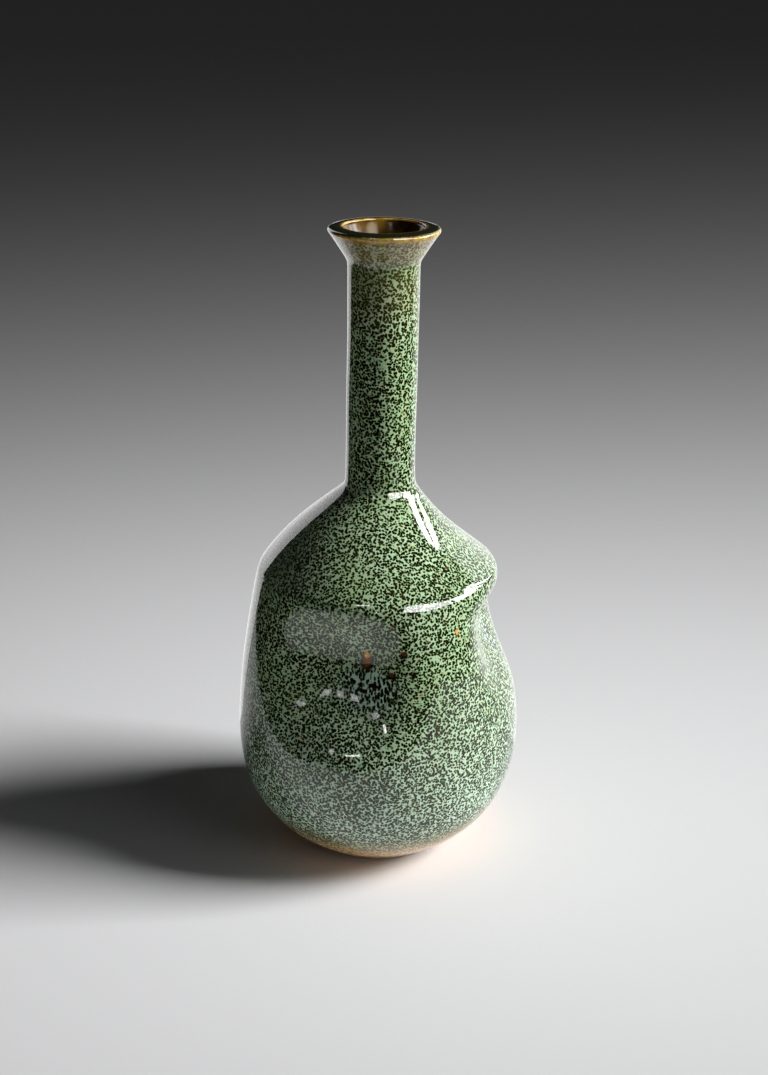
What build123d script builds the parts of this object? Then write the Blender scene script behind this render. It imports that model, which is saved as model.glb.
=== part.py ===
from build123d import *

import math
import os

# A crane-necked sake bottle of glazed stoneware: a round belly with three thumbed dents, a crisp
# ridge, a steep shoulder, a long slim neck and a flared pouring mouth. It is put together the way
# a potter does it: thrown sections, joined with slip, on a turned foot ring, then glazed inside
# and outside. Millimetres, +Z up, origin at the middle of the foot on the standing surface.
# Angles go round the pot from the front (-Y) towards the right (+X).

# Outside of the glazed pot
BELLY_RADIUS = 56.4
WIDEST_HEIGHT = 52.6
LOWER_REACH = 56.5
LOWER_FULLNESS = 2.52
UPPER_REACH = 151.5
UPPER_FULLNESS = 1.41
RIDGE_HEIGHT = 119.0
CREASE_HEIGHT = 151.5
SHOULDER_SAG = 2.9
NECK_RADIUS = 13.2
NECK_LENGTH = 86.2
LIP_RADIUS = 20.6
LIP_HEIGHT = 97.4
LIP_ROUNDING = 1.0
TOP_HEIGHT = 98.9

# The neck stands a little off the belly's axis and leans to the right
NECK_SHIFT = 1.2
NECK_LEAN = 0.83

# Walls, coats and joints
CLAY = 4.6
OUTER_COAT = 0.8
INNER_COAT = 0.5
SLIP = 0.8
FLOOR_HEIGHT = 8.9
BORE_RADIUS = 9.6
BORE_TOP = 82.0
MOUTH_RADIUS = 15.0
FOOT_HEIGHT = 2.0
FOOT_OUTER_RADIUS = 27.8
FOOT_INNER_RADIUS = 21.0
FOOT_CHAMFER = 0.6
GLAZE_EDGE_HEIGHT = 3.4
SHOULDER_JOINT = 117.4
NECK_JOINT = 155.5
MOUTH_JOINT = 235.5

# Thumbed dents: angle, height and depth of the middle, then half width in degrees and the reach
# up and down
DENTS = (
    (-18.4, 92.6, 10.1, 25.5, 17.9, 24.8),
    (82.2, 100.0, 12.2, 26.8, 10.4, 22.3),
    (210.0, 94.0, 9.5, 27.0, 16.0, 24.0),
)
DENT_STEEPNESS = 2.76

# The shoulder falls by about as much as it narrows, so a layer under it lies deeper by the
# diagonal, and its corner at the ridge drops by a little more than half of its depth
DIAGONAL = math.sqrt(2)
CORNER_DROP = 0.54

RING_POINTS = 48
LOWER_RINGS = 8
UPPER_RINGS = 22
SHOULDER_RINGS = 9
SHOULDER_SEAM = 130.0
SHOULDER_START = -0.25
SHOULDER_END = 1.1
WALL_TOP = CREASE_HEIGHT + 2
OVERLAP = 3

FOOT_TOP = FOOT_HEIGHT + SLIP
INNER_DEPTH = OUTER_COAT + CLAY + INNER_COAT


def slab(low, high):
    """A slab of space between two heights."""
    return Pos(0, 0, (low + high) / 2) * Box(3 * BELLY_RADIUS, 3 * BELLY_RADIUS, high - low)


def wall_radius(height, depth, floor):
    """Radius of the round wall without its dents, at a depth under the glaze."""
    if height < WIDEST_HEIGHT:
        drop = (WIDEST_HEIGHT - height) / (WIDEST_HEIGHT - floor)
        return (BELLY_RADIUS - depth) * math.sqrt(1 - drop**LOWER_FULLNESS)
    rise = (height - WIDEST_HEIGHT) / UPPER_REACH
    return BELLY_RADIUS * math.sqrt(1 - rise**UPPER_FULLNESS) - depth


def dent_depth(angle, height):
    """How far the thumbed dents push the wall in."""
    total = 0.0
    for middle, middle_height, depth, width, up, down in DENTS:
        turn = abs((angle - middle + 180) % 360 - 180) / width
        rise = height - middle_height
        reach = up if rise > 0 else down
        total += depth * math.exp(-(turn**DENT_STEEPNESS) - abs(rise / reach) ** DENT_STEEPNESS)
    return total


def ring(radius_at, height, shift=0.0, first=0.0):
    """A closed smooth ring whose radius depends on the angle, with its seam at the first angle."""
    points = []
    for step in range(RING_POINTS):
        angle = first + 360 * step / RING_POINTS
        radius = radius_at(angle)
        turn = math.radians(angle)
        points.append((shift + radius * math.sin(turn), -radius * math.cos(turn), height))
    return Wire([Edge.make_spline(points, periodic=True)])


def belly_form(depth, bottom, floor):
    """Solid form of the belly's wall, carried on above the ridge, at a depth under the glaze."""
    reach = WIDEST_HEIGHT - floor
    start = math.acos(((WIDEST_HEIGHT - bottom) / reach) ** (LOWER_FULLNESS / 2))
    rings = []
    for step in range(LOWER_RINGS):
        turn = start + (math.pi / 2 - start) * step / LOWER_RINGS
        rings.append(WIDEST_HEIGHT - reach * math.cos(turn) ** (2 / LOWER_FULLNESS))
    for step in range(UPPER_RINGS + 1):
        rings.append(WIDEST_HEIGHT + (WALL_TOP - WIDEST_HEIGHT) * step / UPPER_RINGS)
    return Solid.make_loft(
        [ring(lambda a: wall_radius(h, depth, floor) - dent_depth(a, h), h) for h in rings]
    )


def shoulder_form(depth, neck_radius):
    """Solid form of the shoulder, from outside the ridge to just inside the neck."""
    corner = RIDGE_HEIGHT - CORNER_DROP * depth
    crease = CREASE_HEIGHT - DIAGONAL * depth + (NECK_RADIUS - neck_radius)
    corner_radius = wall_radius(corner, depth, 0)

    def radius_at(angle, part):
        start = corner_radius - dent_depth(angle, corner)
        along = min(max(part, 0), 1)
        sag = -SHOULDER_SAG * math.sin(math.radians(angle)) * math.sin(math.pi * along)
        return start + (neck_radius - start) * part + sag

    rings = []
    for step in range(SHOULDER_RINGS + 1):
        part = SHOULDER_START + (SHOULDER_END - SHOULDER_START) * step / SHOULDER_RINGS
        height = corner + (crease - corner) * part
        rings.append(ring(lambda a: radius_at(a, part), height, NECK_SHIFT * part, SHOULDER_SEAM))
    return Solid.make_loft(rings)


def body_form(depth, bottom, floor, neck_radius):
    """Solid form of the belly and the shoulder, which meet in the corner of the ridge."""
    above = slab(RIDGE_HEIGHT - OVERLAP - depth, WALL_TOP + OVERLAP)
    return belly_form(depth, bottom, floor) - (above - shoulder_form(depth, neck_radius))


def on_neck(outline):
    """Turns an outline of radius and height about the leaning axis of the neck."""
    turned = revolve(make_face(outline), Axis.Z)
    return Location((NECK_SHIFT, 0, CREASE_HEIGHT), (0, NECK_LEAN, 0)) * turned


def neck_form(depth):
    """Solid form of the neck and the flared mouth, at a depth under the glaze."""
    start = (0, 0, -NECK_RADIUS / 2)
    neck_low = (NECK_RADIUS - depth, 0, -NECK_RADIUS / 2)
    neck_high = (NECK_RADIUS - depth, 0, NECK_LENGTH)
    under = (LIP_RADIUS - LIP_ROUNDING / 2 - depth, 0, LIP_HEIGHT - LIP_ROUNDING)
    edge = (LIP_RADIUS - depth, 0, LIP_HEIGHT)
    over = (LIP_RADIUS - LIP_ROUNDING - depth, 0, LIP_HEIGHT + LIP_ROUNDING - depth)
    rim = (MOUTH_RADIUS, 0, TOP_HEIGHT - depth)
    middle = (0, 0, TOP_HEIGHT - depth)
    outline = Polyline(start, neck_low, neck_high, under) + ThreePointArc(under, edge, over)
    return on_neck(outline + Polyline(over, rim, middle, start))


def neck_hollow(coat):
    """The neck's bore and the funnel of the mouth, as solids, under a coat of glaze."""
    bore = BORE_RADIUS + coat
    start = (0, 0, -BORE_RADIUS)
    bore_low = (bore, 0, -BORE_RADIUS)
    bore_high = (bore, 0, BORE_TOP)
    rim = (MOUTH_RADIUS + coat, 0, TOP_HEIGHT)
    above = (MOUTH_RADIUS + coat, 0, TOP_HEIGHT + LIP_RADIUS)
    funnel = Spline(bore_high, rim, tangents=((0, 0, 1), (0.5, 0, 1)))
    outline = Polyline(start, bore_low, bore_high) + funnel
    return on_neck(outline + Polyline(rim, above, (0, 0, TOP_HEIGHT + LIP_RADIUS), start))


def outer_layer(depth):
    """The whole outside form of the pot above its foot, at a depth under the glaze."""
    floor = WIDEST_HEIGHT - LOWER_REACH
    return body_form(depth, FOOT_TOP, floor, NECK_RADIUS - depth) + neck_form(depth)


def hollow(coat):
    """The whole inside of the pot, as a solid, under a coat of glaze."""
    depth = INNER_DEPTH - coat
    floor = FLOOR_HEIGHT - coat
    bottom = floor + INNER_COAT
    return body_form(depth, bottom, floor, BORE_RADIUS + coat) + neck_hollow(coat)


def foot_ring():
    """The turned ring of bare clay that the bottle stands on."""
    solid = Cylinder(FOOT_OUTER_RADIUS, FOOT_HEIGHT) - Cylinder(FOOT_INNER_RADIUS, FOOT_HEIGHT)
    low_edges = solid.edges().group_by(Axis.Z)[0]
    return Pos(0, 0, FOOT_HEIGHT / 2) * chamfer(low_edges, FOOT_CHAMFER)


def foot_slip():
    """The film of slip that holds the foot ring on."""
    solid = Cylinder(FOOT_OUTER_RADIUS, SLIP) - Cylinder(FOOT_INNER_RADIUS, SLIP)
    return Pos(0, 0, FOOT_HEIGHT + SLIP / 2) * solid


def thrown_sections(clay):
    """Cuts the clay wall into its thrown sections and the slip between them."""
    top = CREASE_HEIGHT + TOP_HEIGHT + LIP_RADIUS
    return {
        "belly": clay & slab(0, SHOULDER_JOINT),
        "shoulder_slip": clay & slab(SHOULDER_JOINT, SHOULDER_JOINT + SLIP),
        "shoulder": clay & slab(SHOULDER_JOINT + SLIP, NECK_JOINT),
        "neck_slip": clay & slab(NECK_JOINT, NECK_JOINT + SLIP),
        "neck": clay & slab(NECK_JOINT + SLIP, MOUTH_JOINT),
        "mouth_slip": clay & slab(MOUTH_JOINT, MOUTH_JOINT + SLIP),
        "mouth_flare": clay & slab(MOUTH_JOINT + SLIP, top),
    }


glaze_form = outer_layer(0)
clay_form = outer_layer(OUTER_COAT)
clay_hollow = hollow(INNER_COAT)
glaze_hollow = hollow(0)

nodes = {"foot_ring": foot_ring(), "foot_slip": foot_slip()}
nodes.update(thrown_sections(clay_form - clay_hollow))
bare_foot = slab(0, GLAZE_EDGE_HEIGHT)
nodes["outer_glaze"] = glaze_form - clay_form - clay_hollow - bare_foot
nodes["inner_glaze"] = (clay_hollow & glaze_form) - glaze_hollow

os.makedirs("parts", exist_ok=True)
for name, shape in nodes.items():
    export_step(shape, f"parts/{name}.step")
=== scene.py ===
import math

import bpy
import numpy as np
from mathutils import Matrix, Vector


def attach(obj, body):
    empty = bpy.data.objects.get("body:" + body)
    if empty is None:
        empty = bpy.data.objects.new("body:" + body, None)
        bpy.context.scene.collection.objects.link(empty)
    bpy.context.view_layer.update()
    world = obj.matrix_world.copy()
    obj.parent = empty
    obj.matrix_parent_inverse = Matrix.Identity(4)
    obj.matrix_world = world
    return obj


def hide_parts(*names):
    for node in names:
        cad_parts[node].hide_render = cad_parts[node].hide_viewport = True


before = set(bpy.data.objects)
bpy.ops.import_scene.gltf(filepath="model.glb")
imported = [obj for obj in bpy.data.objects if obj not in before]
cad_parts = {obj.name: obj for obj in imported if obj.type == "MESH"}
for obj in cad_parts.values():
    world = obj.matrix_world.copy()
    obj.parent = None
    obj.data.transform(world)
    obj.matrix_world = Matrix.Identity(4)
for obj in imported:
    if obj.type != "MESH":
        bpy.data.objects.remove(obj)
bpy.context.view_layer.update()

# A crane-necked sake bottle of glazed stoneware. The lengths below are millimetres, as on the
# potter's sheet, and MM turns them into metres. Angles go round the pot from the front (-Y)
# towards the right (+X), in degrees. Heights are counted from the table, except where a comment
# says that they are counted from the neck's crease.
MM = 0.001

# The round wall: two curves that meet at its widest. The reaches say how far each would run down
# or up before it closes, and the fullnesses how square it is, with 2 for an ellipse.
BELLY_RADIUS = 56.4
WIDEST_HEIGHT = 52.6
LOWER_REACH = 56.5
LOWER_FULLNESS = 2.52
UPPER_REACH = 151.5
UPPER_FULLNESS = 1.41

# The shoulder: a cone from the ridge up to the neck's crease, hollow on the right and full on the
# left. Inside the wall the ridge lies lower, by a share of the depth there.
RIDGE_HEIGHT = 119.0
RIDGE_ROUNDING = 1.3
RIDGE_DROP = 0.54
CREASE_HEIGHT = 151.5
CREASE_ROUNDING = 1.6
SHOULDER_SAG = 2.9

# The neck and its mouth, whose lengths and heights are counted from the crease
NECK_RADIUS = 13.2
NECK_LENGTH = 86.2
FLARE_ROUNDING = 0.7
LIP_RADIUS = 20.6
LIP_HEIGHT = 97.4
LIP_ROUNDING = 1.0
LIP_CROWN = 0.25
TOP_HEIGHT = 98.9
MOUTH_RADIUS = 15.0
MOUTH_ROUNDING = 0.7

# The neck stands to the right of the pot's middle and leans that way, in degrees. The lean sets in
# within LEAN_BLEND of the crease.
NECK_SHIFT = 1.2
NECK_LEAN = 0.83
LEAN_BLEND = 8.0

# Thumbed dents: angle, height and depth of the middle, then half width in degrees and the reach
# up and down
DENTS = (
    (-18.4, 92.6, 10.1, 25.5, 17.9, 24.8),
    (82.2, 100.0, 12.2, 26.8, 10.4, 22.3),
    (210.0, 94.0, 9.5, 27.0, 16.0, 24.0),
)
DENT_STEEPNESS = 2.76

# Inside of the pot. The bore widens to the mouth from BORE_TOP above the crease, and the floor's
# middle is a small flat disc, INNER_FLAT above where the curve would end.
INNER_DEPTH = 5.9
INNER_FLOOR = 8.9
BORE_RADIUS = 9.6
BORE_TOP = 82.0
MOUTH_TAPER = 1.7
INNER_FLAT = 0.05

# The coats of glaze and the turned foot
COAT = 0.7
GLAZE_EDGE_HEIGHT = 3.4
FOOT_OUTER_RADIUS = 27.8
FOOT_INNER_RADIUS = 21.0
FOOT_HEIGHT = 2.0
FOOT_ROUNDING = 0.5

# Waves left by the potter's fingers: size in millimetres, waves round the pot, waves per metre of
# height and phase in radians
WAVES = (
    (0.12, 3, 6.0, 0.4),
    (0.07, 5, -11.0, 2.1),
    (0.04, 2, 27.0, 4.0),
)

# Where the glaze ran together in the dents: angle, height, half width and half height
POOLS = (
    (-4.0, 86.5, 18.0, 12.0),
    (92.0, 86.0, 9.0, 10.0),
    (208.0, 89.0, 16.0, 12.0),
)

# Where a bubble or a drip let the iron through, small pale gold spots, and one painted highlight on
# the bead in the front crater: angle, height, half width, half height and which of the MARK_COLOURS
# it has
MARKS = (
    (-5.1, 96.2, 3.5, 3.9, "char"),
    (-5.2, 97.2, 2.2, 3.2, "amber"),
    (-5.0, 99.3, 1.4, 1.6, "orange"),
    # A painted highlight: a pale dash of light on the bead's glass
    (-5.6, 98.8, 0.9, 0.35, "painted_highlight"),
    (6.2, 92.6, 2.1, 1.7, "char"),
    (6.2, 93.2, 1.1, 1.1, "rust"),
    (11.8, 101.2, 1.9, 1.8, "char"),
    (11.8, 101.8, 1.0, 0.9, "rust"),
    (15.6, 93.5, 1.2, 2.0, "char"),
    (-19.0, 95.0, 1.2, 1.6, "char"),
    (-1.0, 87.5, 2.4, 0.9, "char"),
    (37.2, 106.3, 1.0, 1.3, "rust"),
    (37.2, 107.0, 0.7, 1.1, "orange"),
    (45.0, 127.3, 1.0, 0.6, "rust"),
    (36.1, 142.2, 0.8, 0.5, "rust"),
    (-24.2, 140.8, 0.6, 0.4, "amber"),
    (-14.0, 149.6, 1.0, 0.8, "char"),
    # Small pale gold spots low on the front left
    (-37.6, 72.9, 0.5, 0.7, "gold"),
    (-32.2, 65.6, 0.5, 0.6, "gold"),
    (-34.0, 69.0, 0.4, 0.4, "gold"),
    (88.0, 99.0, 1.2, 2.4, "rust"),
    (95.0, 86.0, 0.9, 2.8, "char"),
    (203.0, 97.0, 2.4, 2.4, "char"),
    (203.0, 98.2, 1.1, 1.3, "amber"),
    (214.0, 92.0, 1.4, 1.7, "rust"),
    (150.0, 128.0, 0.9, 0.6, "rust"),
)

# Where the outer coat is thin, from 0 to 1: all of it at the foot, fading over FOOT_FADE, and in
# part at the top of the neck, from THIN_NECK_HEIGHT over THIN_NECK_FADE, and on the flare
FOOT_FADE = 30
THIN_NECK = 0.3
THIN_NECK_HEIGHT = 45
THIN_NECK_FADE = 38
THIN_FLARE = 0.22
THIN_FLARE_FADE = 2

# The lip's dark upper face: how far above the lip's edge it starts and how far inside the mouth's
# radius, each with the length over which it sets in
FACE_START = 0.35
FACE_FADE = 0.5
FACE_MARGIN = 0.2
FACE_MARGIN_FADE = 0.8

# The amber bands: one just below the lip's outer edge, one along the mouth's edge and down from it,
# which sets in over MOUTH_BAND_FADE
LIP_BAND_DROP = 0.25
LIP_BAND_WIDTH = 1.2
LIP_BAND_HEIGHT = 0.75
MOUTH_BAND_WIDTH = 0.7
MOUTH_BAND_DEPTH = 3
MOUTH_BAND_FADE = 2

# How far the close rings reach to either side of the ridge, the crease and the flare's start
RIDGE_MARGIN = 4
CREASE_BELOW = 5
CREASE_ABOVE = 6
FLARE_MARGIN = 3

# Points in each ring of a mesh
COLUMNS = 288
INNER_COLUMNS = 96
FOOT_COLUMNS = 144


def soft_min(a, b, rounding):
    """The smaller of two radii, with a rounded corner where they cross."""
    return 0.5 * (a + b - np.sqrt((a - b) ** 2 + rounding**2))


def soft_max(a, b, rounding):
    """The larger of two radii, with a rounded corner where they cross."""
    return 0.5 * (a + b + np.sqrt((a - b) ** 2 + rounding**2))


def smooth(value):
    """Goes gently from 0 to 1 as the value does."""
    value = np.clip(value, 0, 1)
    return value * value * (3 - 2 * value)


def angles(columns):
    """The columns' angles round the pot, in degrees."""
    return np.arange(columns) * 360 / columns


def wall_radius(height, depth=0.0, floor=WIDEST_HEIGHT - LOWER_REACH):
    """Radius of the round wall without its dents, at a depth under the glaze."""
    if height < WIDEST_HEIGHT:
        drop = (WIDEST_HEIGHT - height) / (WIDEST_HEIGHT - floor)
        return (BELLY_RADIUS - depth) * math.sqrt(max(1 - drop**LOWER_FULLNESS, 0))
    rise = (height - WIDEST_HEIGHT) / UPPER_REACH
    return BELLY_RADIUS * math.sqrt(max(1 - rise**UPPER_FULLNESS, 0)) - depth


def dent_depth(angle, height):
    """How far the thumbed dents push the wall in."""
    total = np.zeros_like(angle)
    for middle, middle_height, depth, width, up, down in DENTS:
        turn = np.abs((angle - middle + 180) % 360 - 180) / width
        rise = height - middle_height
        reach = up if rise > 0 else down
        total += depth * np.exp(-(turn**DENT_STEEPNESS) - abs(rise / reach) ** DENT_STEEPNESS)
    return total


def finger_waves(angle, height):
    """Slight unevenness of the thrown wall."""
    total = np.zeros_like(angle)
    for size, around, upward, phase in WAVES:
        upward_turn = height * MM * upward * math.tau
        total += size * np.sin(np.radians(angle) * around + upward_turn + phase)
    return total


def neck_radius(height):
    """Radius of the neck and of the flare under the lip."""
    above = height - CREASE_HEIGHT - NECK_LENGTH
    slope = (LIP_RADIUS - NECK_RADIUS) / (LIP_HEIGHT - NECK_LENGTH)
    return soft_max(NECK_RADIUS, NECK_RADIUS + slope * above, FLARE_ROUNDING)


def body_radius(angle, height, depth=0.0, bore=NECK_RADIUS, floor=WIDEST_HEIGHT - LOWER_REACH):
    """Radius of the belly and the shoulder at a depth under the glaze."""
    wall = wall_radius(height, depth, floor) - dent_depth(angle, height)
    if height < WIDEST_HEIGHT:
        return wall
    drop = RIDGE_DROP * depth
    corner = wall_radius(RIDGE_HEIGHT - drop, depth) - dent_depth(angle, RIDGE_HEIGHT - drop)
    crease = CREASE_HEIGHT - math.sqrt(2) * depth + NECK_RADIUS - bore
    part = (height - RIDGE_HEIGHT + drop) / (crease - RIDGE_HEIGHT + drop)
    sag = SHOULDER_SAG * np.sin(np.radians(angle)) * math.sin(math.pi * min(max(part, 0), 1))
    cone = corner + (bore - corner) * part - sag
    return np.maximum(soft_min(wall, cone, RIDGE_ROUNDING), 0)


def outside_radius(angle, height):
    """Radius of the whole outside below the lip."""
    body = body_radius(angle, height)
    if height > RIDGE_HEIGHT:
        body = soft_max(body, neck_radius(height), CREASE_ROUNDING)
    return body + finger_waves(angle, height)


def place(radius, angle, height):
    """A ring of points in metres. Above the ridge it follows the shifted and leaning neck."""
    turn = np.radians(angle)
    across = radius * np.sin(turn)
    rise = height - CREASE_HEIGHT
    lean = math.radians(NECK_LEAN) * float(smooth(0.5 + rise / (2 * LEAN_BLEND)))
    shoulder = (height - RIDGE_HEIGHT) / (CREASE_HEIGHT - RIDGE_HEIGHT)
    shift = NECK_SHIFT * min(max(shoulder, 0), 1)
    above = max(rise, 0)
    x = shift + across * math.cos(lean) + above * math.sin(lean)
    y = -radius * np.cos(turn)
    z = height - above * (1 - math.cos(lean)) - across * math.sin(lean)
    return np.stack([x, y, z + 0 * x], axis=1) * MM


def spread(start, end, count):
    """Evenly spread values from start up to but without end."""
    return [start + (end - start) * step / count for step in range(count)]


def bowl_heights(bottom, floor, count):
    """Heights of rings evenly spread along the bowl-shaped lower wall."""
    reach = WIDEST_HEIGHT - floor
    start = math.acos(((WIDEST_HEIGHT - bottom) / reach) ** (LOWER_FULLNESS / 2))
    turns = spread(start, math.pi / 2, count)
    return [WIDEST_HEIGHT - reach * math.cos(turn) ** (2 / LOWER_FULLNESS) for turn in turns]


def arc(centre, radius, start, end, count):
    """Points of radius and height along an arc, its ends among them."""
    turns = [math.radians(start + (end - start) * step / count) for step in range(count + 1)]
    return [(centre[0] + radius * math.cos(t), centre[1] + radius * math.sin(t)) for t in turns]


def lip_outline():
    """The lip's section from the flare, over the edge and the sloping top, to the mouth."""
    edge_middle = (LIP_RADIUS - LIP_ROUNDING, LIP_HEIGHT)
    edge = arc(edge_middle, LIP_ROUNDING, start=-35, end=75, count=10)
    mouth_middle = (MOUTH_RADIUS + MOUTH_ROUNDING, TOP_HEIGHT - MOUTH_ROUNDING)
    mouth = arc(mouth_middle, MOUTH_ROUNDING, start=95, end=180, count=7)
    top = []
    for part in spread(0, 1, 8)[1:]:
        radius = edge[-1][0] + (mouth[0][0] - edge[-1][0]) * part
        height = edge[-1][1] + (mouth[0][1] - edge[-1][1]) * part
        top.append((radius, height + LIP_CROWN * math.sin(math.pi * part)))
    return edge + top + mouth


def outer_rings():
    """Rings of the outer coat from the foot to the mouth, closest where it bends most."""
    angle = angles(COLUMNS)
    ridge_start = RIDGE_HEIGHT - RIDGE_MARGIN
    ridge_end = RIDGE_HEIGHT + RIDGE_MARGIN
    crease_start = CREASE_HEIGHT - CREASE_BELOW
    crease_end = CREASE_HEIGHT + CREASE_ABOVE
    flare_start = CREASE_HEIGHT + NECK_LENGTH - FLARE_MARGIN
    flare_end = CREASE_HEIGHT + NECK_LENGTH + FLARE_MARGIN
    lip_start = CREASE_HEIGHT + LIP_HEIGHT - 1.5 * LIP_ROUNDING
    stretches = (
        (WIDEST_HEIGHT, ridge_start, 58),
        (ridge_start, ridge_end, 26),
        (ridge_end, crease_start, 24),
        (crease_start, crease_end, 24),
        (crease_end, flare_start, 34),
        (flare_start, flare_end, 14),
        (flare_end, lip_start, 8),
    )
    heights = bowl_heights(GLAZE_EDGE_HEIGHT, WIDEST_HEIGHT - LOWER_REACH, 56)
    for start, end, count in stretches:
        heights += spread(start, end, count)
    rings = [place(outside_radius(angle, height), angle, height) for height in heights]
    for radius, height in lip_outline():
        wave = finger_waves(angle, height + CREASE_HEIGHT)
        rings.append(place(radius + wave, angle, height + CREASE_HEIGHT))
    return rings


def inner_rings():
    """Rings of the inner coat from the mouth down to the floor."""
    angle = angles(INNER_COLUMNS)
    rings = []
    top = TOP_HEIGHT - MOUTH_ROUNDING
    for part in spread(0, 1, 24):
        height = top + (BORE_TOP - top) * part
        radius = BORE_RADIUS + (MOUTH_RADIUS - BORE_RADIUS) * (1 - part) ** MOUTH_TAPER
        rings.append(place(radius + 0 * angle, angle, height + CREASE_HEIGHT))
    crease = CREASE_HEIGHT - math.sqrt(2) * INNER_DEPTH + NECK_RADIUS - BORE_RADIUS
    for height in spread(BORE_TOP + CREASE_HEIGHT, crease, 16):
        rings.append(place(BORE_RADIUS + 0 * angle, angle, height))
    heights = spread(crease, WIDEST_HEIGHT, 40)
    heights += bowl_heights(INNER_FLOOR + INNER_FLAT, INNER_FLOOR, 24)[::-1]
    for height in heights:
        radius = body_radius(angle, height, INNER_DEPTH, BORE_RADIUS, INNER_FLOOR)
        rings.append(place(radius, angle, height))
    return rings


def under_rings(rings, depth, step):
    """The hidden side of a coat, from its last ring back to its first: every few rings, moved in
    along the surface's own normal."""
    grid = np.array(rings)
    along = np.gradient(grid, axis=0)
    across = np.roll(grid, -1, axis=1) - np.roll(grid, 1, axis=1)
    normal = np.cross(across, along)
    normal /= np.linalg.norm(normal, axis=2, keepdims=True)
    moved = grid - normal * depth * MM
    picks = sorted(set(range(0, len(rings), step)) | {len(rings) - 1}, reverse=True)
    return [moved[pick] for pick in picks]


def skin(name, rings, closed):
    """A smooth mesh through rings of equally many points. Its first and last rings are joined to
    each other when it is closed, and capped when it isn't."""
    count = len(rings[0])
    points = np.concatenate(rings)
    rows = len(rings) if closed else len(rings) - 1
    row = np.repeat(np.arange(rows), count)
    column = np.tile(np.arange(count), rows)
    after_row = (row + 1) % len(rings)
    after_column = (column + 1) % count
    faces = np.stack(
        [
            row * count + column,
            row * count + after_column,
            after_row * count + after_column,
            after_row * count + column,
        ],
        axis=1,
    )
    polygons = faces.tolist()
    if not closed:
        polygons.append(list(range(count))[::-1])
        polygons.append(list(range(len(points) - count, len(points))))
    mesh = bpy.data.meshes.new(name)
    mesh.from_pydata(points.tolist(), [], polygons)
    mesh.shade_smooth()
    piece = bpy.data.objects.new(name, mesh)
    bpy.context.scene.collection.objects.link(piece)
    return piece


def store(piece, name, values):
    """Keeps a number for every point of a mesh, for its material to read."""
    layer = piece.data.attributes.new(name, "FLOAT", "POINT")
    layer.data.foreach_set("value", np.asarray(values, dtype=np.float32))


def points_of(piece):
    """The mesh's points in millimetres."""
    flat = np.empty(len(piece.data.vertices) * 3)
    piece.data.vertices.foreach_get("co", flat)
    return flat.reshape(-1, 3) / MM


def about_the_neck(points):
    """The points' radius about the leaning neck, and their height above its crease."""
    height = points[:, 2] - CREASE_HEIGHT
    neck_x = NECK_SHIFT + np.maximum(height, 0) * math.sin(math.radians(NECK_LEAN))
    return np.hypot(points[:, 0] - neck_x, points[:, 1]), height


def glaze_thinness(height):
    """How thin the coat is at a height above the crease, from 0 to 1."""
    above_edge = height + CREASE_HEIGHT - GLAZE_EDGE_HEIGHT
    foot = smooth(1 - above_edge / FOOT_FADE)
    top_of_neck = THIN_NECK * smooth((height - THIN_NECK_HEIGHT) / THIN_NECK_FADE)
    flare = THIN_FLARE * smooth((height - NECK_LENGTH) / THIN_FLARE_FADE)
    return np.clip(foot + top_of_neck + flare, 0, 1)


def lip_top(radius, height):
    """1 on the lip's dark upper face and 0 elsewhere."""
    over = smooth((height - LIP_HEIGHT - FACE_START) / FACE_FADE)
    outside_mouth = smooth((radius - MOUTH_RADIUS + FACE_MARGIN) / FACE_MARGIN_FADE)
    return over * outside_mouth


def edge_gold(radius, height):
    """Amber bands where the coat breaks over the lip's outer edge and the mouth's edge."""
    across_lip = (radius - LIP_RADIUS) / LIP_BAND_WIDTH
    along_lip = (height - LIP_HEIGHT + LIP_BAND_DROP) / LIP_BAND_HEIGHT
    outer = np.exp(-(across_lip**2) - along_lip**4)
    across_mouth = (radius - MOUTH_RADIUS) / MOUTH_BAND_WIDTH
    from_below = smooth((height - TOP_HEIGHT + MOUTH_BAND_DEPTH) / MOUTH_BAND_FADE)
    inner = np.exp(-(across_mouth**2)) * from_below
    return np.clip(outer + inner, 0, 1)


# ---------------------------------------------------------------- materials


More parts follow.
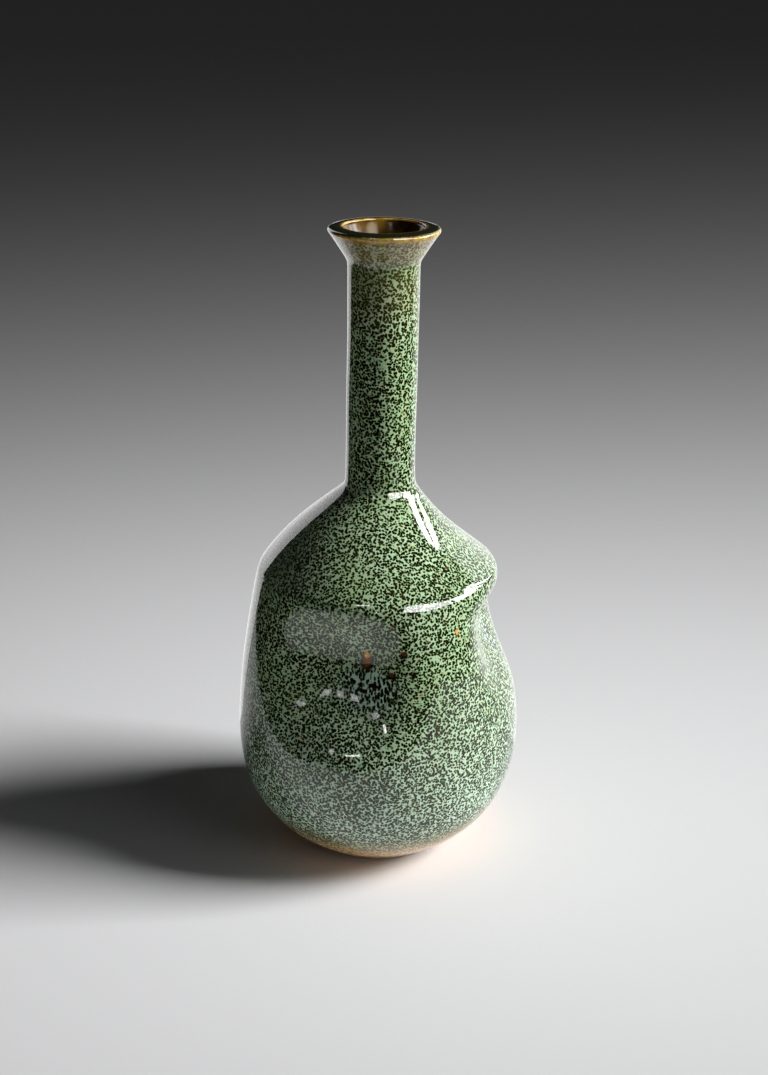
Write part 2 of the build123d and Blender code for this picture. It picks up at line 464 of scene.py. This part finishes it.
class Graph:
    """A short way to write a material's nodes."""

    def __init__(self, name):
        self.material = bpy.data.materials.new(name)
        self.material.use_nodes = True
        self.tree = self.material.node_tree
        self.shader = self.tree.nodes["Principled BSDF"]

    def feed(self, socket, value):
        """Gives a socket a constant or another node's output."""
        if isinstance(value, bpy.types.NodeSocket):
            self.tree.links.new(value, socket)
        elif isinstance(value, tuple) and len(value) == 3 and socket.type == "RGBA":
            socket.default_value = (*value, 1)
        else:
            socket.default_value = value

    def add(self, kind, inputs, output=0, **settings):
        """Adds a node and returns one of its outputs."""
        node = self.tree.nodes.new("ShaderNode" + kind)
        for name, value in settings.items():
            setattr(node, name, value)
        for name, value in inputs.items():
            self.feed(node.inputs[name], value)
        return node.outputs[output]

    def place(self):
        """The object's own coordinates in millimetres."""
        where = self.add("TexCoord", {}, "Object")
        return self.add("VectorMath", {0: where, "Scale": 1 / MM}, operation="SCALE")

    def attribute(self, name):
        """A number that was stored with every point of the mesh."""
        return self.add("Attribute", {}, "Fac", attribute_name=name)

    def math(self, operation, first, second):
        """One step of arithmetic."""
        return self.add("Math", {0: first, 1: second}, operation=operation)

    def noise(self, where, size, detail=2.0, output="Fac"):
        """Clouds whose features are about this many millimetres."""
        return self.add("TexNoise", {"Vector": where, "Scale": 1 / size, "Detail": detail}, output)

    def step(self, value, low, high, bottom=0.0, top=1.0):
        """Goes smoothly from bottom to top as the value goes from low to high."""
        inputs = {"Value": value, "From Min": low, "From Max": high, "To Min": bottom, "To Max": top}
        return self.add("MapRange", inputs, interpolation_type="SMOOTHSTEP")

    def mix(self, factor, first, second):
        """Blends two colours."""
        inputs = {0: factor, 6: first, 7: second}
        return self.add("Mix", inputs, 2, data_type="RGBA")

    def stretch(self, where, x, y, z):
        """Coordinates multiplied along each axis."""
        return self.add("VectorMath", {0: where, 1: (x, y, z)}, operation="MULTIPLY")

    def warp(self, where, size, amount):
        """Pushes coordinates about, so that a regular pattern turns irregular."""
        cloud = self.noise(where, size, 1.0, "Color")
        centred = self.add("VectorMath", {0: cloud, 1: (0.5, 0.5, 0.5)}, operation="SUBTRACT")
        scaled = self.add("VectorMath", {0: centred, "Scale": amount}, operation="SCALE")
        return self.add("VectorMath", {0: where, 1: scaled}, operation="ADD")

    def bump(self, height, distance):
        """A bump of this many millimetres."""
        return self.add("Bump", {"Height": height, "Distance": distance * MM, "Strength": 1.0})

    def finish(self, **inputs):
        """Sets the shader's inputs and returns the material."""
        for name, value in inputs.items():
            self.feed(self.shader.inputs[name.replace("_", " ")], value)
        return self.material


def linear(value):
    """One channel of a screen colour, from 0 to 255, in linear light."""
    if value > 10:
        return ((value / 255 + 0.055) / 1.055) ** 2.4
    return value / 3295


def srgb(red, green, blue):
    """A screen colour in linear light."""
    return (linear(red), linear(green), linear(blue))


GLAZE_COLOURS = {
    "mint": srgb(168, 200, 154),
    "pale_mint": srgb(182, 212, 174),
    # Painted light: the net made paler low on the belly, as if lit from below
    "painted_bounce_mint": srgb(198, 228, 204),
    "straw": srgb(182, 180, 120),
    "blue_green": srgb(200, 230, 224),
    "olive": srgb(148, 164, 112),
    "pale_olive": srgb(170, 170, 126),
    "tan": srgb(224, 180, 120),
    "pit": srgb(14, 13, 4),
    "rusty_pit": srgb(42, 24, 9),
    "thin_pit": srgb(82, 68, 38),
    "foot_pit": srgb(200, 152, 94),
    "moss": srgb(78, 100, 48),
    "foot_moss": srgb(222, 180, 124),
    "lip": srgb(22, 30, 14),
    "dark_amber": srgb(158, 108, 14),
    "bright_amber": srgb(214, 176, 56),
}

MARK_COLOURS = {
    "char": srgb(26, 15, 7),
    "rust": srgb(98, 46, 18),
    "amber": srgb(134, 84, 16),
    "orange": srgb(255, 168, 72),
    "gold": srgb(200, 176, 92),
    # The colour of the painted highlight on the bead
    "painted_highlight": srgb(255, 238, 205),
}

# Speckle: the spacing of the pits and how unevenly they lie. LEVEL is how far a pit's edge lies from
# its middle, and LEVEL_SOFTNESS how soft that edge is. These two, the bend and the blots' size are
# counted in spacings. Blots and drifts raise and lower the level from place to place, and where the
# glaze pooled the pits run down into drops.
CELL = 0.96
UNEVENNESS = 0.9
LEVEL = 0.52
LEVEL_SOFTNESS = 0.17
BEND_SIZE = 2.4
BEND_AMOUNT = 1.3
BLOT_SIZE = 2.5
BLOT_AMOUNT = 0.07
DRIFT_SIZE = 22.0
DRIFT_AMOUNT = 0.12
DROP_STRETCH = (0.9, 0.9, 0.5)

# Rust flecks, and how ragged the larger marks are: size and amount of their bend
FLECK_SPACING = 13.0
RAGGED_SIZE = 1.7
RAGGED_AMOUNT = 1.6


def on_surface(angle, height):
    """A point on the outside of the pot, in millimetres."""
    turn = np.array([angle])
    return tuple((place(outside_radius(turn, height), turn, height)[0] / MM).tolist())


def oval(graph, where, mark, start, end):
    """1 within an oval on the outside of the pot and 0 beyond it, fading from start to end."""
    angle, height, half_width, half_height = mark
    away = graph.add("VectorMath", {0: where, 1: on_surface(angle, height)}, operation="SUBTRACT")
    scaled = graph.stretch(away, 1 / half_width, 1 / half_width, 1 / half_height)
    reach = graph.add("VectorMath", {0: scaled}, "Value", operation="LENGTH")
    return graph.step(reach, start, end, bottom=1.0, top=0.0)


def pool_share(graph, where):
    """How far a place lies in one of the glaze's pools, from 0 to 1."""
    total = 0.0
    for pool in POOLS:
        total = graph.math("MAXIMUM", total, oval(graph, where, pool, start=0.2, end=1.15))
    return total


def pit_distance(graph, where):
    """How far a place is from the middle of the nearest pit, in spacings."""
    inputs = {"Vector": where, "Scale": 1 / CELL, "Randomness": UNEVENNESS}
    return graph.add("TexVoronoi", inputs, "Distance")


def shift_level(graph, level, where, size, amount):
    """Raises and lowers the pattern's level in clouds of a size."""
    cloud = graph.math("SUBTRACT", graph.noise(where, size, 1.0), 0.5)
    return graph.math("ADD", level, graph.math("MULTIPLY", cloud, amount))


def speckle(graph, where, pool):
    """The glaze's pattern: 0 in its dark pits and 1 on the pale net between them."""
    bent = graph.warp(where, BEND_SIZE * CELL, BEND_AMOUNT * CELL)
    spots = pit_distance(graph, bent)
    drops = pit_distance(graph, graph.stretch(bent, *DROP_STRETCH))
    level = graph.add("Mix", {0: graph.step(pool, 0.3, 0.9), 2: spots, 3: drops}, data_type="FLOAT")
    level = shift_level(graph, level, where, BLOT_SIZE * CELL, BLOT_AMOUNT)
    level = shift_level(graph, level, where, DRIFT_SIZE, DRIFT_AMOUNT)
    return graph.step(level, LEVEL - LEVEL_SOFTNESS, LEVEL + LEVEL_SOFTNESS)


def net_colour(graph, where, pool, thin, fine):
    """The pale net: mint, paler low down as painted light from below, paler and bluer in the pools,
    olive and tan where the coat is thin.
    """
    tint = GLAZE_COLOURS
    drift = graph.step(graph.noise(where, 18.0, 3.0), 0.35, 0.65)
    height = graph.add("SeparateXYZ", {"Vector": where}, "Z")
    # Painted light: the net turns paler towards the bottom, as if lit from below
    low = graph.step(height, 15, 95, bottom=1.0, top=0.0)
    mint = graph.mix(drift, tint["mint"], tint["pale_mint"])
    mint = graph.mix(low, mint, tint["painted_bounce_mint"])
    pale = graph.mix(graph.step(fine, 0.45, 0.8, top=0.5), mint, tint["straw"])
    pale = graph.mix(graph.step(pool, 0.1, 0.9, top=0.6), pale, tint["blue_green"])
    olive = graph.mix(drift, tint["olive"], tint["pale_olive"])
    pale = graph.mix(graph.step(thin, 0.02, 0.5), pale, olive)
    return graph.mix(graph.step(thin, 0.4, 0.85), pale, tint["tan"])


def pit_colour(graph, thin, fine):
    """The dark pits, browner and lighter where the coat is thin."""
    tint = GLAZE_COLOURS
    pit = graph.mix(graph.step(fine, 0.5, 0.75), tint["pit"], tint["rusty_pit"])
    pit = graph.mix(graph.step(thin, 0.0, 0.55), pit, tint["thin_pit"])
    return graph.mix(graph.step(thin, 0.55, 1.0), pit, tint["foot_pit"])


def add_marks(graph, where, colour):
    """Small rust flecks everywhere, then each of the larger marks, one of them a painted highlight.
    """
    fleck = graph.add("TexVoronoi", {"Vector": where, "Scale": 1 / FLECK_SPACING}, "Distance")
    share = graph.step(fleck, 0.03, 0.07, bottom=0.8, top=0.0)
    colour = graph.mix(share, colour, MARK_COLOURS["rust"])
    ragged = graph.warp(where, RAGGED_SIZE, RAGGED_AMOUNT)
    for angle, height, half_width, half_height, kind in MARKS:
        mark = (angle, height, half_width, half_height)
        share = oval(graph, ragged, mark, start=0.55, end=1.15)
        colour = graph.mix(share, colour, MARK_COLOURS[kind])
    return colour


def glaze_colour(graph, where, pattern, pool):
    """Dark pits that turn through moss into the pale net, with the marks and the lip's colours."""
    tint = GLAZE_COLOURS
    thin = graph.attribute("thin")
    fine = graph.noise(where, 2.2, 2.0)
    moss = graph.mix(graph.step(thin, 0.3, 1.0), tint["moss"], tint["foot_moss"])
    colour = graph.mix(graph.step(pattern, 0.0, 0.55), pit_colour(graph, thin, fine), moss)
    net = net_colour(graph, where, pool, thin, fine)
    colour = graph.mix(graph.step(pattern, 0.45, 1.0), colour, net)
    colour = add_marks(graph, where, colour)
    colour = graph.mix(graph.attribute("lip"), colour, tint["lip"])
    amber = graph.mix(graph.step(fine, 0.3, 0.7), tint["dark_amber"], tint["bright_amber"])
    return graph.mix(graph.attribute("gold"), colour, amber)


def outer_glaze_material():
    """The speckled glaze, glossy, with a slight orange peel."""
    graph = Graph("speckled_green_glaze")
    where = graph.place()
    pool = pool_share(graph, where)
    pattern = speckle(graph, where, pool)
    colour = glaze_colour(graph, where, pattern, pool)
    relief = graph.bump(graph.noise(where, 7.0, 2.0), 0.02)
    return graph.finish(Base_Color=colour, Roughness=0.04, IOR=1.7, Normal=relief)


def inner_glaze_material():
    """The brown and amber glaze inside."""
    graph = Graph("amber_inner_glaze")
    where = graph.place()
    cloud = graph.noise(where, 6.0, 3.0)
    colour = graph.mix(graph.step(cloud, 0.3, 0.7), srgb(52, 36, 8), srgb(112, 84, 20))
    relief = graph.bump(graph.noise(where, 5.0, 2.0), 0.05)
    return graph.finish(Base_Color=colour, Roughness=0.16, IOR=1.33, Normal=relief)


def clay_material(name, dark, pale):
    """Bare fired clay with dark grit."""
    graph = Graph(name)
    where = graph.place()
    cloud = graph.noise(where, 4.0, 4.0)
    grit = graph.noise(where, 0.35, 2.0)
    colour = graph.mix(graph.step(cloud, 0.3, 0.7), dark, pale)
    colour = graph.mix(graph.step(grit, 0.62, 0.72), colour, srgb(48, 30, 18))
    relief = graph.bump(grit, 0.06)
    return graph.finish(Base_Color=colour, Roughness=0.85, Normal=relief)


# ---------------------------------------------------------------- pieces


def make_outer_coat():
    """The outer glaze, which carries its own thinness, amber edges and dark lip."""
    rings = outer_rings()
    piece = skin("glaze_coat", rings + under_rings(rings, COAT, step=8), closed=True)
    radius, height = about_the_neck(points_of(piece))
    store(piece, "thin", glaze_thinness(height))
    store(piece, "gold", edge_gold(radius, height))
    store(piece, "lip", lip_top(radius, height))
    piece.data.materials.append(outer_glaze_material())
    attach(piece, "root")
    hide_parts("outer_glaze")


def make_inner_coat():
    """The inner glaze: a thin shell from the floor's middle up to the mouth and back down."""
    rings = inner_rings()
    piece = skin("inner_coat", under_rings(rings, COAT, step=4) + rings, closed=False)
    piece.data.materials.append(inner_glaze_material())
    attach(piece, "root")
    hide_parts("inner_glaze")


def make_foot():
    """The turned foot ring, its two lower edges rounded."""
    middle = (FOOT_OUTER_RADIUS + FOOT_INNER_RADIUS) / 2
    half = (FOOT_OUTER_RADIUS - FOOT_INNER_RADIUS) / 2 - FOOT_ROUNDING
    outer_middle = (middle + half, FOOT_ROUNDING)
    inner_middle = (middle - half, FOOT_ROUNDING)
    outline = arc(outer_middle, FOOT_ROUNDING, start=-90, end=0, count=6)
    outline += [(FOOT_OUTER_RADIUS, FOOT_HEIGHT), (FOOT_INNER_RADIUS, FOOT_HEIGHT)]
    outline += arc(inner_middle, FOOT_ROUNDING, start=180, end=270, count=6)
    angle = angles(FOOT_COLUMNS)
    rings = [place(radius + 0 * angle, angle, height) for radius, height in outline]
    piece = skin("turned_foot", rings, closed=True)
    piece.data.materials.append(clay_material("foot_clay", srgb(150, 120, 92), srgb(176, 146, 114)))
    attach(piece, "root")
    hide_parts("foot_ring")


def dress_clay():
    """Gives the clay sections and their slip a fired clay finish."""
    clay = clay_material("fired_clay", srgb(150, 118, 86), srgb(176, 142, 106))
    slip = clay_material("fired_slip", srgb(166, 134, 98), srgb(188, 156, 120))
    for name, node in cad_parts.items():
        node.data.materials.clear()
        node.data.materials.append(slip if name.endswith("slip") else clay)


# ---------------------------------------------------------------- stage

# The floor reaches this far in metres. Its colour is painted darker away from the pot over the
# length below in millimetres, more slowly to the sides, as painted shade, and it glows with the far
# tone that the world has too, a painted glow.
FLOOR_REACH = 12.0
PAINTED_FLOOR_FALLOFF = 430.0
SIDEWAYS_SHARE = 0.6
FAR_TONE = (0.015, 0.015, 0.0155)

# The glaze mirrors the floor as it lies only inside these limits, in metres. Beyond them it mirrors
# black sheets, and behind the pot a bright sheet, from these two near corners out to the far edges
# at these angles off straight back.
TABLE_LEFT = -0.279
TABLE_RIGHT = 0.408
TABLE_FRONT = -0.344
BACKDROP_LEFT = 50
BACKDROP_RIGHT = 63
BRIGHT_CORNERS = [(-0.11, 0.092), (0.11, 0.056)]
BRIGHT_STRENGTH = 1.2
FLAG_HEIGHT = 0.0005

# Cards that the glaze mirrors, at this distance from the middle of the shoulder: azimuth and
# elevation of their corners from there, then brightness
SHOULDER_MIDDLE = Vector((0.01, 0.0, 0.12))
CARD_DISTANCE = 1.3
CARDS = {
    "near_pane": (((98, 22), (121, 13), (114, 27), (113, 36), (106, 38), (99, 34)), 14),
    "far_pane": (((129, 11), (140, 4), (132, 13), (125, 24), (119, 32), (113, 36), (118, 27)), 14),
    "window_bar": (((76, 34), (76, 9), (105, 10), (105, 28)), 16),
    "window": (((19, 12), (40, 7), (72, 9), (72, 34), (62, 40), (48, 50), (26, 48)), 9),
    "right_wall": (((165, -6), (150, -6), (122, 30), (150, 42), (165, 42)), 1.5),
    "left_wall": (((-165, -6), (-165, 42), (-150, 42), (-137, 30), (-134, -6)), 1.5),
    "left_glint": (((-38, 5), (-34, 5), (-34, 12), (-38, 10)), 3),
    "low_glint": (((-8, 3), (-4, 1.5), (-3, 4.5), (-7, 6)), 10),
    "low_bar": (((-26, 5.6), (-18, 5.2), (-18, 7), (-26, 7.2)), 11),
    "ridge_bar": (((-27, 47), (-13, 53), (-13, 55.5), (-27, 49.5)), 12),
}

# Soft boxes: azimuth, elevation, distance and size in metres, and power in watts
LIGHTS = {
    "key": (86, 32, 5.0, 2.0, 438),
    "fill": (58, 12, 2.0, 1.2, 6),
}

# The camera: its place in metres, how many degrees it looks down, and its lens in millimetres
CAMERA_PLACE = (0.00255, -0.5576, 0.3505)
CAMERA_DIP = 21.645
CAMERA_LENS = 51.51
SENSOR_WIDTH = 36


def floor_material():
    """Pale paper, its colour painted darker away from the pot as painted shade, with a painted glow
    of the studio's dark tone far off.
    """
    graph = Graph("pale_floor_painted_falloff")
    where = graph.place()
    away = graph.stretch(where, SIDEWAYS_SHARE / PAINTED_FLOOR_FALLOFF, 1 / PAINTED_FLOOR_FALLOFF, 0.0)
    square = graph.add("VectorMath", {0: away, 1: away}, "Value", operation="DOT_PRODUCT")
    share = graph.math("DIVIDE", 1.0, graph.math("ADD", square, 1.0))
    cloud = graph.noise(where, 400.0, 2.0)
    pale = graph.mix(cloud, srgb(226, 226, 228), srgb(230, 230, 231))
    # Painted shade: the paper's colour goes to black away from the pot
    colour = graph.mix(share, (0, 0, 0), pale)
    # Painted glow: the far floor gives off the world's dark tone
    painted_far_glow = graph.mix(share, FAR_TONE, (0, 0, 0))
    return graph.finish(
        Base_Color=colour,
        Roughness=1.0,
        Specular_IOR_Level=0.0,
        Emission_Color=painted_far_glow,
        Emission_Strength=1.0,
    )


def sheet(name, corners, material):
    """A flat stage surface through its corners, in metres."""
    mesh = bpy.data.meshes.new(name)
    mesh.from_pydata(corners, [], [list(range(len(corners)))])
    mesh.materials.append(material)
    thing = bpy.data.objects.new(name, mesh)
    bpy.context.scene.collection.objects.link(thing)
    return thing


def glossy_only(thing):
    """Leaves a stage surface to the reflections alone."""
    thing.visible_camera = False
    thing.visible_diffuse = False
    thing.visible_shadow = False
    thing.visible_transmission = False


def glow_material(name, strength):
    """A matt black surface that gives off white light of this strength."""
    graph = Graph(name)
    return graph.finish(
        Base_Color=(0, 0, 0),
        Roughness=1.0,
        Specular_IOR_Level=0.0,
        Emission_Color=(1, 1, 1),
        Emission_Strength=strength,
    )


def direction(azimuth, elevation):
    """A direction from the pot, its azimuth counted from the front towards the right."""
    turn = math.radians(azimuth)
    rise = math.radians(elevation)
    level = math.cos(rise)
    return Vector((level * math.sin(turn), -level * math.cos(turn), math.sin(rise)))


def make_card(name, corners, strength):
    """A card that only the glaze reflects, with its corners in these directions."""
    points = [SHOULDER_MIDDLE + direction(*corner) * CARD_DISTANCE for corner in corners]
    glossy_only(sheet(name, points, glow_material(name, strength)))


def make_flag(name, corners, strength=0.0):
    """A sheet on the floor that only the glaze reflects, black unless it has a strength."""
    points = [(x, y, FLAG_HEIGHT) for x, y in corners]
    glossy_only(sheet(name, points, glow_material(name, strength)))


def soft_light(name, azimuth, elevation, distance, size, power):
    """A soft box that looks at the pot. It is not in the picture itself."""
    data = bpy.data.lights.new(name, "AREA")
    data.shape = "SQUARE"
    data.size = size
    data.energy = power
    lamp = bpy.data.objects.new(name, data)
    bpy.context.scene.collection.objects.link(lamp)
    away = direction(azimuth, elevation)
    lamp.location = SHOULDER_MIDDLE + away * distance
    lamp.rotation_euler = away.to_track_quat("Z", "Y").to_euler()
    lamp.visible_camera = False
    lamp.visible_glossy = False


def back_corner(side, off_back):
    """The corner on the floor at this x, in a direction this many degrees off straight back."""
    return (side, abs(side) / math.tan(math.radians(off_back)))


def make_floor():
    """The floor that the picture shows, and the sheets on it that shape the reflections."""
    far = FLOOR_REACH
    corners = [(-far, -far, 0), (far, -far, 0), (far, far, 0), (-far, far, 0)]
    sheet("floor", corners, floor_material())
    left_back = back_corner(TABLE_LEFT, BACKDROP_LEFT)
    left_far = back_corner(-far, BACKDROP_LEFT)
    right_back = back_corner(TABLE_RIGHT, BACKDROP_RIGHT)
    right_far = back_corner(far, BACKDROP_RIGHT)
    left_front = (TABLE_LEFT, TABLE_FRONT)
    right_front = (TABLE_RIGHT, TABLE_FRONT)
    far_left_front = (-far, TABLE_FRONT)
    far_right_front = (far, TABLE_FRONT)
    make_flag("front_flag", [(-far, -far), (far, -far), far_right_front, far_left_front])
    make_flag("left_flag", [far_left_front, left_front, left_back, left_far])
    make_flag("right_flag", [right_front, far_right_front, right_far, right_back])
    make_flag("bright_floor", [*BRIGHT_CORNERS, right_far, left_far], BRIGHT_STRENGTH)


def make_world():
    """Surroundings of one even dark tone."""
    world = bpy.data.worlds.new("studio")
    bpy.context.scene.world = world
    world.use_nodes = True
    world.node_tree.nodes["Background"].inputs["Color"].default_value = (*FAR_TONE, 1)


def make_stage():
    """The floor, the cards, the world and the lights."""
    make_floor()
    for name, (corners, strength) in CARDS.items():
        make_card(name, corners, strength)
    make_world()
    for name, settings in LIGHTS.items():
        soft_light(name, *settings)


def make_camera():
    """Looks down at the pot from the front."""
    data = bpy.data.cameras.new("camera")
    data.sensor_width = SENSOR_WIDTH
    data.lens = CAMERA_LENS
    camera = bpy.data.objects.new("camera", data)
    bpy.context.scene.collection.objects.link(camera)
    camera.location = CAMERA_PLACE
    camera.rotation_euler = (math.radians(90 - CAMERA_DIP), 0, 0)
    bpy.context.scene.camera = camera


bpy.context.scene.view_settings.view_transform = "Standard"
make_camera()
make_stage()
dress_clay()
make_outer_coat()
make_inner_coat()
make_foot()
